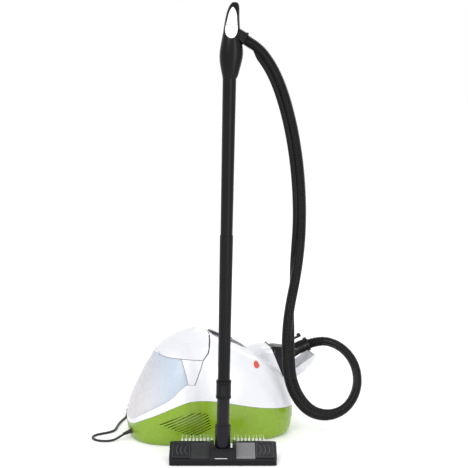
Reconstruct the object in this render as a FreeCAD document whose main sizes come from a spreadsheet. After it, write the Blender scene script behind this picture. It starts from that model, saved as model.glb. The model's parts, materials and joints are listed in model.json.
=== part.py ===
"""Canister floor cleaner: a wheeled machine with a lift-off water tank, joined by a flexible hose to an
upright wand that stands on its floor head.  Millimetres, +Z up, the origin on the floor under the middle
of the machine and wand taken together.

The local frames.  The machine frame is centred under the machine, with the tank end at -X and the hose
socket at +X.  The stand frame is on the floor under the wand; the wand frame leans over from it so that
its Z axis runs along the tubes, and the head frame moves sideways from it to the middle of the floor
head.  The wand side of the object is -Y.
"""
import FreeCAD, Part
import Sketcher
import math
import os
import re

V = FreeCAD.Vector
doc = FreeCAD.newDocument("FloorCleaner")

# ---------------------------------------------------------------- driving dimensions

SIZES = {
    # places of the three local frames
    "machine_x": -40, "machine_y": 119,
    "wand_x": -63.5, "wand_y": -194, "wand_turn": -13, "wand_lean": 1.1,
    "head_shift": 2,
    # machine casings
    "skin": 3, "floor_z": 16, "side_reach": 200,
    # running gear
    "wheel_r": 20, "wheel_wide": 15, "axle_r": 2.5, "well_r": 31, "well_top": 47,
    "stem_r": 4, "trail": 9, "wheel_bx": 160, "wheel_by": 82, "running_gap": 0.05,
    # steam and suction parts inside the machine
    "boiler_r": 50, "boiler_long": 125, "motor_r": 48, "motor_long": 60,
    "impeller_r": 42, "impeller_wide": 18, "shaft_r": 4,
    # hose socket and plug
    "socket_tilt": 22, "socket_long": 98, "socket_wide": 84, "socket_bore": 24, "socket_thick": 5,
    "sleeve_r": 18.5, "plug_long": 116, "hose_depth": 40,
    "hose_d": 30, "lead_d": 7, "coil_outer": 60, "coil_inner": 24, "coil_high": 26,
    "pin_r": 2.4, "pin_long": 19, "pin_pitch": 19, "mains_plug_r": 17,
    # controls
    "button_r": 10, "button_gap": 0.6, "button_proud": 2.5, "knob_r": 14, "knob_stem_r": 4,
    # wand
    "tube_top_r": 18.4, "tube_low_r": 16.8, "tube_wall": 1.6,
    "neck_low": 40, "neck_top": 104, "neck_r": 21.8, "stub_r": 17.6,
    "collar_low": 182, "collar_top": 233, "collar_r": 20.6, "tube_joint": 639, "handle_low": 1070,
    "handle_wall": 2.6, "cuff_r": 18, "cuff_long": 20,
    # floor head
    "head_half": 150, "deck_thick": 3, "pivot_z": 28, "pivot_r": 4, "knuckle_r": 19, "knuckle_half": 23.6,
    "cheek_gap": 26.2, "cheek_out": 35,
}

sheet = doc.addObject("Spreadsheet::Sheet", "Sizes")
for row, (alias, value) in enumerate(SIZES.items(), start=1):
    sheet.set(f"A{row}", alias)
    sheet.set(f"B{row}", str(value))
    sheet.setAlias(f"B{row}", alias)
doc.recompute()

ALIAS = re.compile(r"\b(" + "|".join(SIZES) + r")\b")


def size(alias):
    """The value of one cell of the sheet."""
    return float(sheet.get(alias))


def bind(obj, **formulas):
    """Bind properties of an object to formulas over the sheet's aliases."""
    for prop, formula in formulas.items():
        obj.setExpression(prop, ALIAS.sub(r"Sizes.\1", formula))


# ---------------------------------------------------------------- frames

def turned(x, y, z, *turns):
    """A placement at x, y, z with one rotation after another, each an (axis, degrees) pair."""
    rotation = FreeCAD.Rotation()
    for axis, degrees in turns:
        rotation = rotation.multiply(FreeCAD.Rotation(V(*axis), degrees))
    return FreeCAD.Placement(V(x, y, z), rotation)


ACROSS, ALONG, UP = (1, 0, 0), (0, 1, 0), (0, 0, 1)
TURN = (UP, size("wand_turn"))
MACHINE = turned(size("machine_x"), size("machine_y"), 0)
LEAN = turned(0, 0, 0, (ALONG, size("wand_lean")))
STAND = turned(size("wand_x"), size("wand_y"), 0, TURN)
WAND = STAND.multiply(LEAN)
HEAD = STAND.multiply(turned(size("head_shift"), 0, 0))
SOCKET_CENTRE = (204.5, 0, 208)
SOCKET_IN_MACHINE = turned(*SOCKET_CENTRE, (ALONG, 90 - size("socket_tilt")))
SOCKET = MACHINE.multiply(SOCKET_IN_MACHINE)

# ---------------------------------------------------------------- making and keeping pieces

kept = {}


def keep(label, obj, frame):
    """Name a finished sub-part and place it in the object's frame."""
    doc.recompute()
    obj.Label = label
    obj.Placement = frame.multiply(obj.Placement)
    kept[label] = obj
    return obj


def feature(label, shape, frame):
    """A sub-part whose shape is made with Part's own functions."""
    obj = doc.addObject("Part::Feature", label)
    obj.Shape = shape
    return keep(label, obj, frame)


def cylinder(name, radius, height, base=(0, 0, 0), axis=UP):
    obj = doc.addObject("Part::Cylinder", name)
    bind(obj, Radius=radius, Height=height)
    obj.Placement = FreeCAD.Placement(V(*base), FreeCAD.Rotation(V(*UP), V(*axis)))
    return obj


def cone(name, low_radius, high_radius, height, base=(0, 0, 0)):
    obj = doc.addObject("Part::Cone", name)
    bind(obj, Radius1=low_radius, Radius2=high_radius, Height=height)
    obj.Placement.Base = V(*base)
    return obj


def block(name, long, wide, high, centre=(0, 0, 0)):
    """A box given by formulas for its three sizes, standing on the centre of its base."""
    obj = doc.addObject("Part::Box", name)
    bind(obj, Length=str(long), Width=str(wide), Height=str(high))
    doc.recompute()
    obj.Placement.Base = V(centre[0] - obj.Length.Value / 2, centre[1] - obj.Width.Value / 2, centre[2])
    return obj


def fuse(name, *parts):
    obj = doc.addObject("Part::MultiFuse", name)
    obj.Shapes = list(parts)
    return obj


def cut(name, base, *tools):
    obj = doc.addObject("Part::Cut", name)
    obj.Base = base
    obj.Tool = tools[0] if len(tools) == 1 else fuse(name + "_tools", *tools)
    return obj


def body(name):
    return doc.addObject("PartDesign::Body", name)


def sketch_on(parent, role, name):
    """A sketch on one of a body's own origin planes."""
    plane = next(item for item in parent.Origin.OriginFeatures if item.Role == role)
    sketch = parent.newObject("Sketcher::SketchObject", name)
    sketch.AttachmentSupport = [(plane, "")]
    sketch.MapMode = "FlatFace"
    return sketch


def circle(sketch, radius, centre=(0, 0)):
    """A circle whose radius is bound to a formula and whose centre is fixed."""
    index = sketch.addGeometry(Part.Circle(V(*centre, 0), V(*UP), 5), False)
    dims = [("Radius", (index, 5), radius)]
    if centre == (0, 0):
        sketch.addConstraint(Sketcher.Constraint("Coincident", index, 3, -1, 1))
    else:
        dims += [("DistanceX", (-1, 1, index, 3, centre[0]), None),
                 ("DistanceY", (-1, 1, index, 3, centre[1]), None)]
    for kind, target, formula in dims:
        number = sketch.addConstraint(Sketcher.Constraint(kind, *target))
        if formula:
            bind(sketch, **{f"Constraints[{number}]": formula})


def rectangle(sketch, wide, high):
    """A rectangle centred on the sketch's origin, its two sizes bound to formulas."""
    half = 10
    turns = [V(-half, -half, 0), V(half, -half, 0), V(half, half, 0), V(-half, half, 0)]
    sides = [Part.LineSegment(turns[i], turns[(i + 1) % 4]) for i in range(4)]
    first = sketch.addGeometry(sides, False)[0]
    for i in range(4):
        sketch.addConstraint(Sketcher.Constraint("Coincident", first + i, 2, first + (i + 1) % 4, 1))
        sketch.addConstraint(Sketcher.Constraint("Vertical" if i % 2 else "Horizontal", first + i))
    sketch.addConstraint(Sketcher.Constraint("Symmetric", first, 1, first + 1, 2, -1, 1))
    for kind, side, formula in (("DistanceX", first, wide), ("DistanceY", first + 1, high)):
        number = sketch.addConstraint(Sketcher.Constraint(kind, side, 1, side, 2, 2 * half))
        bind(sketch, **{f"Constraints[{number}]": formula})


def pad(parent, sketch, length, midplane=False):
    step = parent.newObject("PartDesign::Pad", sketch.Name + "_pad")
    step.Profile = sketch
    step.Midplane = midplane
    bind(step, Length=length)
    return step


def pocket(parent, sketch, length, midplane=False, flipped=False):
    step = parent.newObject("PartDesign::Pocket", sketch.Name + "_pocket")
    step.Profile = sketch
    step.Midplane = midplane
    step.Reversed = flipped
    bind(step, Length=length)
    return step


# ---------------------------------------------------------------- free forms

def section(height, low_x, high_x, low_y, high_y, power, points=28):
    """A closed smooth wire at one height: a superellipse that fills the given box."""
    centre_x, centre_y = (low_x + high_x) / 2, (low_y + high_y) / 2
    half_x, half_y = (high_x - low_x) / 2, (high_y - low_y) / 2

    def bulge(value):
        return math.copysign(abs(value) ** (2 / power), value)

    ring = [V(centre_x + half_x * bulge(math.cos(turn)), centre_y + half_y * bulge(math.sin(turn)), height)
            for turn in (2 * math.pi * (i + 0.5) / points for i in range(points))]
    curve = Part.BSplineCurve()
    curve.interpolate(ring, PeriodicFlag=True)
    return Part.Wire([curve.toShape()])


def form(stations, power, inset=0):
    """A solid through superellipse sections, drawn in by inset all round and at both ends."""
    low, high = stations[0][0], stations[-1][0]
    shrink = (high - low - 2 * inset) / (high - low)
    wires = [section(low + inset + (height - low) * shrink, x0 + inset, x1 - inset, y0 + inset, y1 - inset,
                     power)
             for height, x0, x1, y0, y1 in stations]
    return Part.makeLoft(wires, True, False)


def smooth(points):
    """An edge through points given in the X-Z plane."""
    curve = Part.BSplineCurve()
    curve.interpolate([V(x, 0, z) for x, z in points])
    return curve.toShape()


def outline(*runs):
    """A closed wire in the X-Z plane: each run of points is a smooth curve if it has more than two
    points, and straight lines join one run's end to the next run's start."""
    edges = []
    for run, following in zip(runs, runs[1:] + runs[:1]):
        if len(run) > 2:
            edges.append(smooth(run))
        elif len(run) == 2:
            edges.append(Part.makeLine(V(run[0][0], 0, run[0][1]), V(run[1][0], 0, run[1][1])))
        start, end = run[-1], following[0]
        edges.append(Part.makeLine(V(start[0], 0, start[1]), V(end[0], 0, end[1])))
    return Part.Wire(edges)


def corners(*points):
    """Single points as runs of their own, so that outline joins them with straight lines."""
    return [[point] for point in points]


def slab(wire, half_depth, middle=0):
    """An X-Z outline as a solid that reaches half_depth each side of Y = middle."""
    face = Part.Face(wire)
    face.translate(V(0, middle - half_depth, 0))
    return face.extrude(V(0, 2 * half_depth, 0))


def profile_x(points, low_x, high_x):
    """A polygon in the Y-Z plane as a solid between two X values."""
    ring = [V(low_x, y, z) for y, z in points]
    return Part.Face(Part.makePolygon(ring + ring[:1])).extrude(V(high_x - low_x, 0, 0))


def box(low, high):
    return Part.makeBox(*(high[i] - low[i] for i in range(3)), V(*low))


# Outer casing of the machine: height, tank end, hose end, half width.
CASING = [
    (2, -232, 236, 153), (8, -235, 242, 158), (30, -238, 249, 162), (60, -239, 253, 164),
    (95, -232, 250, 163), (125, -221, 241, 160), (155, -206, 230, 156), (185, -191, 212, 150),
    (210, -177, 186, 143), (232, -163, 152, 134), (252, -150, 114, 122), (270, -131, 82, 106),
    (288, -106, 38, 82), (302, -79, 11, 57), (312, -57, -6, 34), (318, -40, -18, 12),
]
CASING = [(height, x0, x1, -half, half) for height, x0, x1, half in CASING]
CASING_POWER = 2.8
SKIN = size("skin")
REACH = size("side_reach")
FAR = 290                                   # beyond the casing in X
outer = form(CASING, CASING_POWER)
inner = form(CASING, CASING_POWER, SKIN)
proud = form(CASING, CASING_POWER, -0.8)
shallow = form(CASING, CASING_POWER, 1.4)

# Where the green base meets the white casing, and where the white casing meets the tank.
SEAM = [(-262, 12), (-240, 45), (-220, 66), (-194, 82), (-154, 102.5), (-112, 121.5), (-83, 131),
        (-54, 133), (-25, 131.5), (49, 118), (109, 105), (174, 94), (FAR, 78)]
SILL = [(-262, 24), (-240, 57), (-223, 80), (-206, 94.5), (-180, 112), (-153, 128.5), (-139, 138),
        (-125, 149.5), (-113, 162), (-101, 172.5), (-89, 180.6)]


def raised(points, rise):
    return [(x, z + rise) for x, z in points]


def hood(inset):
    """The raised housing that carries the hose socket's slanting face."""
    half = size("socket_long") / 2 - inset
    tilt = math.radians(size("socket_tilt"))
    top = (SOCKET_CENTRE[0] - half * math.sin(tilt), SOCKET_CENTRE[2] + half * math.cos(tilt))
    low = (SOCKET_CENTRE[0] + half * math.sin(tilt), SOCKET_CENTRE[2] - half * math.cos(tilt))
    wire = outline(*corners((122, 240 - inset), (146, 250 - inset), (162, top[1]), top, low, (170, 148),
                            (120, 190)))
    solid = slab(wire, 46 - inset)
    long_edges = [edge for edge in solid.Edges
                  if abs(edge.tangentAt(edge.FirstParameter).y) < 0.01 and edge.BoundBox.ZMin > 235]
    return solid.makeFillet(16 - inset, long_edges)


# ---------------------------------------------------------------- machine casings

WELL_PLACES = [(side_x * size("wheel_bx"), side_y * size("wheel_by"))
               for side_x in (-1, 1) for side_y in (-1, 1)]
GLAND_PLACE = turned(-230, -38, 27, (ALONG, -110))
COIL = (-150, 232, 0)


def vent_slots():
    """Slanting slots, cut to a leaf-shaped outline, through the near side of the base."""
    leaf = slab(outline([(-171, 68), (-120, 87), (-68, 100), (-32, 96)],
                        [(-27, 80), (-38, 38), (-60, 33), (-90, 36), (-135, 52), (-170, 66)]), 30, -150)
    slots = []
    for number in range(11):
        slot = box((-95, -178, -1.4), (95, -122, 1.4))
        slot.rotate(V(0, 0, 0), V(0, 1, 0), -24)
        slot.translate(V(-95, 0, 37 + 8.4 * number - 15))
        slots.append(slot)
    return slots[0].multiFuse(slots[1:]).common(leaf)


def make_base():
    below = slab(outline(SEAM, *corners((FAR, -50), (-FAR, -50))), REACH)
    floor_z = size("floor_z")
    shell = outer.common(below)
    upper_room = inner.common(box((-FAR, -REACH, floor_z + SKIN), (FAR, REACH, 200)))
    under_room = inner.common(box((-FAR, -REACH, 0), (FAR, REACH, floor_z)))
    shell = shell.cut(upper_room).cut(under_room)
    shell = shell.cut(box((-195, -112, 0), (195, 112, floor_z)))
    for x, y in WELL_PLACES:
        can = Part.makeCylinder(size("well_r") + SKIN, size("well_top") + SKIN - floor_z, V(x, y, floor_z))
        room = Part.makeCylinder(size("well_r"), size("well_top"), V(x, y, 0))
        pivot = Part.makeCylinder(size("stem_r") + size("running_gap"), 60, V(x, y, 10))
        shell = shell.fuse(can).cut(room).cut(pivot)
    gland_hole = Part.makeCylinder(5.8, 60, V(0, 0, -30))
    gland_hole = gland_hole.fuse(Part.makeCylinder(9.2, 30, V(0, 0, 1.8)))
    gland_hole.Placement = GLAND_PLACE
    return shell.cut(gland_hole).cut(vent_slots())


WELL = outline(*corners((6, 267), (106, 228), (106, 320), (6, 350)))
WELL_ROOM = outline(*corners((9, 270.5), (103, 233), (103, 320), (9, 350)))
BUTTONS = {"power_button": (28, 66), "boiler_button": (56, 66)}
KNOB = (84, 98)
BADGE = (124, 222.5)
BADGE_R = 9
FLAP_AXIS = (233.5, 0, 160)
LID_HINGE = (-151, 251.3)


def skin_height(x, y):
    """Height of the casing's outer skin above a place."""
    return Part.makeLine(V(x, y, 120), V(x, y, 330)).common(outer).BoundBox.ZMax


def on_skin(x, y, step=2):
    """A frame on the casing's outer skin, with its Z axis standing square out of it."""
    slope_x = (skin_height(x + step, y) - skin_height(x - step, y)) / (2 * step)
    slope_y = (skin_height(x, y + step) - skin_height(x, y - step)) / (2 * step)
    return FreeCAD.Placement(V(x, y, skin_height(x, y)), FreeCAD.Rotation(V(*UP), V(-slope_x, -slope_y, 1)))


def bore_on_skin(radius, place):
    bore = Part.makeCylinder(radius, 24, V(0, 0, -12))
    bore.Placement = on_skin(*place)
    return bore


def pocket_for_badge(radius):
    return Part.makeCylinder(radius, 100, V(BADGE[0], -160, BADGE[1]), V(0, 1, 0))


def flap_lugs():
    """Two lugs on the casing below the socket that hold the ends of the flap's rod."""
    x, y, z = FLAP_AXIS
    lugs = []
    for side in (-1, 1):
        lug = box((214, side * 42 - 2, z - 4), (x, side * 42 + 2, z + 4))
        lug = lug.fuse(Part.makeCylinder(4, 4, V(x, side * 42 - 2, z), V(0, 1, 0)))
        lugs.append(lug.cut(inner).cut(Part.makeCylinder(1.5, 4, V(x, side * 42 - 2, z), V(0, 1, 0))))
    return lugs


def make_top():
    room_above = slab(outline(raised(SILL, -0.5), *corners((-66.4, 178.3), (-37.2, 245.3), (-18, 264),
                                                           (-7, 289), (-1, 302), (-1, 360), (FAR, 360)),
                              raised(SEAM, 0.8)[::-1]), REACH)
    hollow = slab(outline(raised(SILL, -4), *corners((-63, 175), (-33.6, 245), (-14.5, 263), (-3.6, 289),
                                                     (2.3, 302), (2.3, 360), (FAR, 360), (FAR, -50),
                                                     (-FAR, -50))), REACH)
    shell = outer.common(room_above).fuse(hood(0)).cut(inner.common(hollow)).cut(hood(SKIN))
    tray = outer.common(slab(WELL, 38)).cut(slab(WELL_ROOM, 35))
    shell = shell.cut(slab(WELL, 37.9)).fuse(tray)
    duct = Part.makeCylinder(size("socket_bore"), 40, V(0, 0, -30))
    duct.Placement = SOCKET_IN_MACHINE
    shell = shell.cut(duct)
    for place in BUTTONS.values():
        shell = shell.cut(bore_on_skin(size("button_r") + size("button_gap"), place))
    shell = shell.cut(bore_on_skin(size("knob_stem_r") + size("running_gap"), KNOB))
    shell = shell.cut(pocket_for_badge(BADGE_R).cut(shallow))
    half_long, half_wide = size("socket_long") / 2 + 0.2, size("socket_wide") / 2 + 0.2
    plate_room = box((-half_long, -half_wide, 0), (half_long, half_wide, 30))
    plate_room.Placement = SOCKET_IN_MACHINE
    return shell.multiFuse(flap_lugs()).cut(plate_room)


def lid_barrel(radius, low_y, high_y):
    """A round bar along the lid's hinge line, which runs across the tank end of the lid."""
    return Part.makeCylinder(radius, high_y - low_y, V(LID_HINGE[0], low_y, LID_HINGE[1]), V(0, 1, 0))


def make_tank():
    """The water tank, open at the top, with two hinge knuckles and the lid's hinge pin."""
    room = slab(outline(raised(SILL, 0.6), *corners((-86.6, 181), (-100, 249.5), (-FAR, 250.5))), REACH)
    hollow = slab(outline(raised(SILL, 4)[:-1], *corners((-92.5, 183), (-104, 250), (-104, 340),
                                                         (-FAR, 340))), REACH)
    tank = outer.common(room).cut(inner.common(hollow)).cut(lid_barrel(3.8, -20.3, 20.3))
    return tank.multiFuse([lid_barrel(3.5, -28, -20.3), lid_barrel(3.5, 20.3, 28), lid_barrel(1.5, -24, 24)])


def make_tank_frame():
    room = slab(outline(*corners((-85.6, 181), (-98.6, 249.3), (-39.6, 245), (-68.6, 179.6))), REACH)
    hollow = slab(outline(*corners((-81.6, 184.6), (-95, 247), (-95.5, 262), (-43.8, 256), (-43.8, 244.6),
                                   (-70.2, 183.6))), REACH)
    return outer.common(room).cut(inner.common(hollow))


def make_tank_lid():
    room = slab(outline(*corners((-FAR, 252), (-101, 250.9), (-39.6, 246.6), (-21, 265.5), (-10, 290),
                                 (-4, 303), (-4, 360), (-FAR, 360))), REACH)
    hollow = slab(outline(*corners((-FAR, 200), (-43, 200), (-43, 248.6), (-24.4, 267), (-13.4, 291),
                                   (-7.4, 304), (-7.4, 360), (-FAR, 360))), REACH)
    lid = outer.common(room).cut(inner.common(hollow))
    lid = lid.cut(lid_barrel(3.9, -28.4, -20)).cut(lid_barrel(3.9, 20, 28.4))
    return lid.fuse(lid_barrel(3.5, -20, 20)).cut(lid_barrel(1.55, -20, 20))


def make_carry_handle():
    upper = [(6, 309), (16, 306), (30, 299.5), (60, 285), (88, 271.5), (104, 262), (124, 244)]
    wire = outline(upper, raised(upper, -8)[::-1])
    grip = slab(wire, 13)
    return grip.cut(outer.cut(slab(WELL_ROOM, 35)))


feature("base_shell", make_base(), MACHINE)
feature("top_shell", make_top(), MACHINE)
feature("tank", make_tank(), MACHINE)
feature("tank_frame", make_tank_frame(), MACHINE)
feature("tank_lid", make_tank_lid(), MACHINE)
feature("carry_handle", make_carry_handle(), MACHINE)
feature("badge", proud.common(pocket_for_badge(BADGE_R - 0.3)).cut(shallow), MACHINE)

# ---------------------------------------------------------------- controls on the machine

for label, place in BUTTONS.items():
    cap = cylinder(label + "_cap", "button_r", "button_proud + 10", (0, 0, -10))
    keep(label, cap, MACHINE.multiply(on_skin(*place)))

steam_knob = body("steam_knob_body")
face = sketch_on(steam_knob, "XY_Plane", "knob_face")
circle(face, "knob_r")
pad(steam_knob, face, "8")
stem = sketch_on(steam_knob, "XY_Plane", "knob_stem")
circle(stem, "knob_stem_r")
pad(steam_knob, stem, "14").Reversed = True
keep("steam_knob", steam_knob, MACHINE.multiply(on_skin(*KNOB)).multiply(turned(0, 0, 1.6)))

# ---------------------------------------------------------------- running gear

WHEEL_NAMES = ["wheel_tank_near", "wheel_tank_far", "wheel_hose_near", "wheel_hose_far"]


def make_wheel(name):
    """A tyre-shaped wheel with a bore, turned about its own Z axis and laid on its side."""
    part = body(name + "_body")
    disc = sketch_on(part, "XY_Plane", name + "_disc")
    circle(disc, "wheel_r")
    circle(disc, "axle_r + running_gap")
    pad(part, disc, "wheel_wide", midplane=True)
    doc.recompute()
    rims = [f"Edge{i + 1}" for i, edge in enumerate(part.Shape.Edges)
            if abs(getattr(edge.Curve, "Radius", 0) - size("wheel_r")) < 0.01 and edge.Closed]
    blank = part.Tip
    rounding = part.newObject("PartDesign::Fillet", name + "_rounding")
    rounding.Base = (blank, rims)
    rounding.Radius = 4
    part.Tip = rounding
    return part


def make_fork(name):
    """A caster fork: a stem in the well's top, a crown and two cheeks that hold the axle."""
    crown = cylinder(name + "_crown", "14", "3", (0, 0, 43))
    stem_pin = cylinder(name + "_stem", "stem_r", "16", (0, 0, 43))
    cheeks = [block(f"{name}_cheek_{side}", 14, 2.4, "31", (size("trail"), side * 10.2, 13))
              for side in (-1, 1)]
    bridge = block(name + "_bridge", "trail + 8", 22.8, 2, (size("trail") / 2, 0, 43))
    axle = cylinder(name + "_axle", "axle_r", "22", (size("trail"), -11, size("wheel_r")), ALONG)
    return fuse(name + "_all", crown, stem_pin, *cheeks, bridge, axle)


fixed_forks = []
for wheel_name, (x, y) in zip(WHEEL_NAMES, WELL_PLACES):
    fork_name = wheel_name.replace("wheel", "fork")
    fork = make_fork(fork_name)
    if x < 0:
        keep(fork_name, fork, MACHINE.multiply(turned(x, y, 0)))
    else:
        fork.Placement = turned(x, y, 0)
        fixed_forks.append(fork)
    spot = turned(x + size("trail"), y, size("wheel_r"), (ACROSS, 90))
    keep(wheel_name, make_wheel(wheel_name), MACHINE.multiply(spot))

keep("fixed_forks", fuse("fork_pair", *fixed_forks), MACHINE)

# ---------------------------------------------------------------- steam and suction parts inside

BOILER = (-20, 62, 84)
MOTOR = (70, -62, 112)
boiler_can = cylinder("boiler_can", "boiler_r", "boiler_long", BOILER, ACROSS)
boiler_room = cylinder("boiler_room", "boiler_r - 2", "boiler_long - 4", (BOILER[0] + 2, *BOILER[1:]),
                       ACROSS)
keep("boiler", cut("boiler_hollow", boiler_can, boiler_room), MACHINE)

element = doc.addObject("Part::Torus", "element_ring")
bind(element, Radius1="boiler_r - 14", Radius2="4")
element.Placement = turned(BOILER[0] + size("boiler_long") + 4, *BOILER[1:], (ALONG, 90))
keep("heating_element", element, MACHINE)

valve_coil = cylinder("valve_coil", "13", "30", (10, 20, 150))
valve_core = block("valve_core", 44, 20, 14, (10, 20, 136))
keep("solenoid_valve", fuse("valve_all", valve_coil, valve_core), MACHINE)

can = cylinder("motor_can", "motor_r", "motor_long", MOTOR, ACROSS)
bearing = cylinder("motor_bearing", "shaft_r + running_gap", "motor_long", MOTOR, ACROSS)
keep("vacuum_motor", cut("motor_bored", can, bearing), MACHINE)

fan_x = MOTOR[0] + size("motor_long")
scroll = cylinder("fan_scroll", "motor_r", "30", (fan_x, *MOTOR[1:]), ACROSS)
scroll_room = cylinder("fan_room", "motor_r - 3", "27", (fan_x, *MOTOR[1:]), ACROSS)
inlet = cylinder("fan_inlet", "16", "30", (fan_x, *MOTOR[1:]), ACROSS)
keep("fan_housing", cut("fan_shell", scroll, scroll_room, inlet), MACHINE)

rotor_disc = cylinder("rotor_disc", "impeller_r", "3", (fan_x + 3, *MOTOR[1:]), ACROSS)
rotor_rim = cylinder("rotor_rim", "impeller_r", "2", (fan_x + 21, *MOTOR[1:]), ACROSS)
rim_eye = cylinder("rim_eye", "16", "2", (fan_x + 21, *MOTOR[1:]), ACROSS)
rotor_shaft = cylinder("rotor_shaft", "shaft_r", "motor_long + 10", (MOTOR[0] + 4, *MOTOR[1:]), ACROSS)
vanes = []
for number in range(7):
    vane = block(f"vane_{number}", "impeller_wide - 2", 2, "impeller_r - 16", (0, 0, 0))
    vane.Placement = turned(fan_x + 6, *MOTOR[1:], (ACROSS, 360 / 7 * number)).multiply(turned(0, 0, 15))
    vanes.append(vane)
rim = cut("rim_ring", rotor_rim, rim_eye)
keep("fan_rotor", fuse("rotor_all", rotor_disc, rim, rotor_shaft, *vanes), MACHINE)

mount_ring = cylinder("mount_ring", "motor_r + 6", "14", (MOTOR[0] + 20, *MOTOR[1:]), ACROSS)
mount_bore = cylinder("mount_bore", "motor_r", "14", (MOTOR[0] + 20, *MOTOR[1:]), ACROSS)
keep("motor_mount", cut("mount_ring_cut", mount_ring, mount_bore), MACHINE)

keep("exhaust_filter", block("filter_pad", 92, 18, 56, (-80, -126, 30)), MACHINE)
keep("circuit_board", block("board_plate", 110, 1.6, 62, (-95, 12, 26)), MACHINE)
keep("float_valve", cylinder("float_drum", "14", "34", (-150, 0, 176)), MACHINE)
intake = cylinder("intake_tube", "15", "64", (-126, 40, 172))
intake_bore = cylinder("intake_bore", "13", "64", (-126, 40, 172))
keep("intake_pipe", cut("intake_cut", intake, intake_bore), MACHINE)

# ---------------------------------------------------------------- hose socket, plug and flap

socket = body("socket_body")
plate = sketch_on(socket, "XY_Plane", "socket_plate")
rectangle(plate, "socket_long", "socket_wide")
circle(plate, "socket_bore")
pad(socket, plate, "socket_thick")
doc.recompute()
keep("hose_socket", socket, SOCKET)

LATCH_AXIS = (-33, 0, 60)
PLUG_STATIONS = [(5.3, -45, 45, -36, 36), (14, -44, 43, -35, 35), (40, -31, 29, -27, 27),
                 (64, -21, 21, -20, 20), (78, -19.2, 19.2, -19.2, 19.2)]


def latch_bore(gap):
    return Part.makeCylinder(2 + gap, 30, V(LATCH_AXIS[0], -15, LATCH_AXIS[2]), V(0, 1, 0))


def make_plug():
    """A broad head against the socket that narrows to a sleeve with an end collar."""
    wires = [section(height, x0, x1, y0, y1, power)
             for (height, x0, x1, y0, y1), power in zip(PLUG_STATIONS, (4.5, 4.5, 3, 2.2, 2))]
    head = Part.makeLoft(wires, True, False)
    sleeve = Part.makeCylinder(size("sleeve_r"), size("plug_long") - 78, V(0, 0, 78))
    collar = Part.makeCylinder(21.5, 9, V(0, 0, size("plug_long") - 9))
    spigot = Part.makeCylinder(size("socket_bore") - 0.5, 24, V(0, 0, -18))
    ears = [box((-37, side * 9 - 2, 55), (-18, side * 9 + 2, 65)) for side in (-1, 1)]
    plug = head.multiFuse([sleeve, collar, spigot, *ears])
    hose_bore = Part.makeCylinder(size("hose_d") / 2, 100, V(0, 0, size("plug_long") - size("hose_depth")))
    plug = plug.cut(hose_bore).cut(Part.makeCylinder(12, 200, V(0, 0, -30)))
    return plug.cut(latch_bore(0))


feature("hose_plug", make_plug(), SOCKET)


def make_latch():
    """A thin lever above the plug's sleeve, with a knob near its free end."""
    x, z = LATCH_AXIS[0], LATCH_AXIS[2]
    arm = box((x - 2, -6, z - 3), (x + 2, 6, 104))
    knob = box((x - 8, -6, 94), (x - 2, 6, 104))
    lever = arm.fuse(knob).fuse(Part.makeCylinder(3.5, 12, V(x, -6, z), V(0, 1, 0)))
    return lever.cut(latch_bore(size("running_gap")))


feature("plug_latch", make_latch(), SOCKET)


def make_flap():
    """A shallow scoop that covers the socket when the hose is out, shown hanging open below the plug.
    It is drawn about its hinge line."""
    back = [(0, -4), (32, 0), (68, 23), (94, 62)]
    room = [(4, -0.8), (31, 2.8), (65, 25), (89, 60)]
    shell = slab(outline(back, *corners((90, 65), (0, 4))), 38)
    hollow = slab(outline(room, *corners((86, 70), (0, 8))), 35.4)
    knuckle = Part.makeCylinder(4, 60, V(0, -30, 0), V(0, 1, 0))
    flap = shell.cut(hollow).fuse(knuckle)
    return flap.cut(Part.makeCylinder(1.55, 90, V(0, -45, 0), V(0, 1, 0)))


feature("socket_flap", make_flap(), MACHINE.multiply(turned(*FLAP_AXIS)))
flap_rod = cylinder("flap_rod", "1.5", "88", (FLAP_AXIS[0], -44, FLAP_AXIS[2]), ALONG)
latch_rod = cylinder("latch_rod", "2", "22", (0, 0, 0), ALONG)
latch_rod.Placement = SOCKET_IN_MACHINE.multiply(turned(LATCH_AXIS[0], -11, LATCH_AXIS[2], (ACROSS, -90)))
keep("hinge_pins", fuse("hinge_pin_pair", flap_rod, latch_rod), MACHINE)

# ---------------------------------------------------------------- wand tubes, collar and neck


def hollow_tube(name, low, high):
    """A tube that narrows downwards, with a wall of even thickness."""
    outside = cone(name + "_outside", "tube_low_r", "tube_top_r", str(high - low), (0, 0, low))
    inside = cone(name + "_inside", "tube_low_r - tube_wall", "tube_top_r - tube_wall", str(high - low),
                  (0, 0, low))
    return cut(name + "_pipe", outside, inside)


keep("lower_tube", hollow_tube("lower", size("collar_top"), size("tube_joint")), WAND)
keep("upper_tube", hollow_tube("upper", size("tube_joint"), size("handle_low")), WAND)

collar_body = cylinder("collar_drum", "collar_r", "collar_top - collar_low", (0, 0, size("collar_low")))
collar_bore = cylinder("collar_bore", "13", "collar_top - collar_low", (0, 0, size("collar_low")))
collar_window = block("collar_window", 17.4, 14, 33, (0, -19, 190.5))
rings = []
for number, height in enumerate((184, 226)):
    rings.append(cylinder(f"collar_ring_{number}", "collar_r + 0.9", "4", (0, 0, height)))
keep("tube_collar", cut("collar_all", fuse("collar_solid", collar_body, *rings), collar_bore,
                        collar_window), WAND)
keep("collar_button", block("collar_key", 16.6, 7.5, 32, (0, -18.4, 191)), WAND)


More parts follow.
